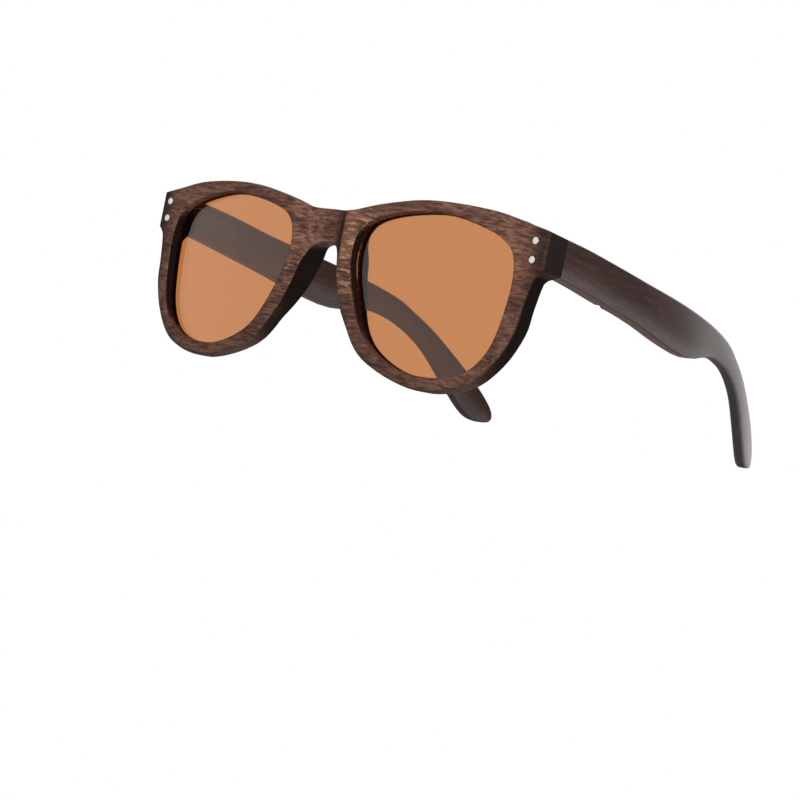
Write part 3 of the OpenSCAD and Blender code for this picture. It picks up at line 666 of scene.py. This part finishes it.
# The faces have a thin coat of lacquer, and the edges are dull.
TEMPLE_END_COLOUR = linear(26, 20, 18)
TEMPLE_END_FACING = (0.5, 0.9)
TEMPLE_LACQUER = 0.6
TEMPLE_LACQUER_ROUGHNESS = 0.2
lacquered = times(tree, all_but(tree, on_edge), TEMPLE_LACQUER)
tree.links.new(lacquered, temple_wood.shader.inputs["Coat Weight"])
temple_wood.shader.inputs["Coat Roughness"].default_value = TEMPLE_LACQUER_ROUGHNESS
temple_wood.sawn = on_edge
temple_wood.finish(TEMPLE_END_COLOUR, TEMPLE_END_FACING)
for side in SIDES:
    temple = bench_copy(f"{side}_temple", f"{side}_temple_wood")
    temple.data.materials.append(temple_wood.material)
    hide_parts(f"{side}_temple")
    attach(temple, f"{side}_arm")


# The studio: a pale floor that shows only from above, a white sheet behind, a white board in front to the
# left, and a darker room at both sides. A camera or a lens looks into plain white everywhere.
FLOOR_SIZE = 6
FLOOR_COLOUR = (0.86, 0.86, 0.86, 1)
FLOOR_ROUGHNESS = 0.9
FLOOR_GLOW = 0.4
FLOOR_FAR_GLOW = 0.5
FLOOR_PALE = (0.25, 1.3)
bpy.ops.object.select_all(action="DESELECT")
bpy.ops.mesh.primitive_plane_add(size=FLOOR_SIZE, location=(0, 0, cad_low.z))
floor = bpy.context.object
floor.name = "studio_floor"
floor_paint = bpy.data.materials.new("studio_floor")
floor_paint.use_nodes = True
floor_tree = floor_paint.node_tree
floor_shader = floor_tree.nodes["Principled BSDF"]
floor_shader.inputs["Base Color"].default_value = FLOOR_COLOUR
floor_shader.inputs["Roughness"].default_value = FLOOR_ROUGHNESS
floor_shader.inputs["Specular IOR Level"].default_value = 0
floor_shader.inputs["Emission Color"].default_value = (1, 1, 1, 1)
floor_rays = add(floor_tree, "LightPath").outputs
seen = maths(floor_tree, "MAXIMUM", floor_rays["Is Camera Ray"], floor_rays["Is Glossy Ray"])
seen = maths(floor_tree, "MAXIMUM", seen, floor_rays["Is Transmission Ray"])
reach = add(floor_tree, "VectorMath", operation="LENGTH")
floor_tree.links.new(add(floor_tree, "TexCoord").outputs["Object"], reach.inputs[0])
far = fade(floor_tree, reach.outputs["Value"], *FLOOR_PALE)
glow = maths(floor_tree, "ADD", times(floor_tree, far, FLOOR_FAR_GLOW), FLOOR_GLOW)
floor_tree.links.new(times(floor_tree, seen, glow), floor_shader.inputs["Emission Strength"])
under = add(floor_tree, "NewGeometry")
clear = add(floor_tree, "BsdfTransparent")
one_sided = add(floor_tree, "MixShader")
floor_tree.links.new(under.outputs["Backfacing"], one_sided.inputs["Fac"])
floor_tree.links.new(floor_shader.outputs["BSDF"], one_sided.inputs[1])
floor_tree.links.new(clear.outputs["BSDF"], one_sided.inputs[2])
floor_tree.links.new(one_sided.outputs["Shader"], floor_tree.nodes["Material Output"].inputs["Surface"])
floor.data.materials.append(floor_paint)
floor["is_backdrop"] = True

# Each sheet has the direction of its middle, and the cosines at which it starts and is full white.
AMBIENT = 0.27
ROOM = 0.1
FIRST_BOUNCE = 0.5
BACK_SHEET = (Vector((-0.454, 0.891, 0)), 0.62, 0.83)
FRONT_SHEET = (Vector((-0.45, -0.893, 0)), 0.5, 0.77)
world = bpy.data.worlds.new("studio")
bpy.context.scene.world = world
world.use_nodes = True
world.cycles.sampling_method = "NONE"
world_tree = world.node_tree
surround = world_tree.nodes["Background"]
surround.inputs["Color"].default_value = (1, 1, 1, 1)
level = add(world_tree, "VectorMath", operation="MULTIPLY")
world_tree.links.new(add(world_tree, "TexCoord").outputs["Generated"], level.inputs[0])
level.inputs[1].default_value = (1, 1, 0)
heading = add(world_tree, "VectorMath", operation="NORMALIZE")
world_tree.links.new(level.outputs[0], heading.inputs[0])


def sheet_towards(middle, edge, full):
    """How much of a white sheet stands in a direction of the room."""
    turned = add(world_tree, "VectorMath", operation="DOT_PRODUCT")
    world_tree.links.new(heading.outputs[0], turned.inputs[0])
    turned.inputs[1].default_value = middle
    return fade(world_tree, turned.outputs["Value"], edge, full)


sheets = maths(world_tree, "MAXIMUM", sheet_towards(*BACK_SHEET), sheet_towards(*FRONT_SHEET))
mirrored = maths(world_tree, "ADD", ROOM - AMBIENT, times(world_tree, sheets, 1 - ROOM))
rays = add(world_tree, "LightPath").outputs
strength = maths(world_tree, "ADD", times(world_tree, rays["Is Glossy Ray"], mirrored), AMBIENT)
straight = maths(world_tree, "LESS_THAN", rays["Diffuse Depth"], FIRST_BOUNCE)
through = times(world_tree, rays["Is Transmission Ray"], straight)
strength = maths(world_tree, "MAXIMUM", strength, through)
strength = maths(world_tree, "MAXIMUM", strength, rays["Is Camera Ray"])
world_tree.links.new(strength, surround.inputs["Strength"])

KEY_PLACE = Vector((0.97, -0.87, 0.36))
KEY_AIM = Vector((0, -0.02, 0.025))
KEY_SIZE = 0.6
KEY_POWER = 14
key_data = bpy.data.lights.new("key", "AREA")
key_data.size = KEY_SIZE
key_data.energy = KEY_POWER
key = bpy.data.objects.new("key", key_data)
key.location = KEY_PLACE
key.rotation_euler = (KEY_AIM - KEY_PLACE).to_track_quat("-Z", "Y").to_euler()
bpy.context.scene.collection.objects.link(key)


# The camera stands a little below the rims, to the wearer's left, with a long lens.
# Its place and turn were fitted to the outline of the front.
CAMERA_PLACE = Vector((0.45718, -0.56041, -0.02390))
CAMERA_RIGHT = Vector((0.746966, 0.635595, 0.195091))
CAMERA_UP = Vector((-0.127317, -0.151258, 0.980261))
CAMERA_LENS = 110.25
CAMERA_SENSOR = 36
CAMERA_NEAR = 0.01
camera_data = bpy.data.cameras.new("camera")
camera_data.lens = CAMERA_LENS
camera_data.sensor_width = CAMERA_SENSOR
camera_data.clip_start = CAMERA_NEAR
camera = bpy.data.objects.new("camera", camera_data)
turn = Matrix((CAMERA_RIGHT, CAMERA_UP, CAMERA_RIGHT.cross(CAMERA_UP))).transposed()
camera.matrix_world = Matrix.Translation(CAMERA_PLACE) @ turn.to_4x4()
bpy.context.scene.collection.objects.link(camera)
bpy.context.scene.camera = camera
bpy.context.scene.view_settings.view_transform = "Standard"

low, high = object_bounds()
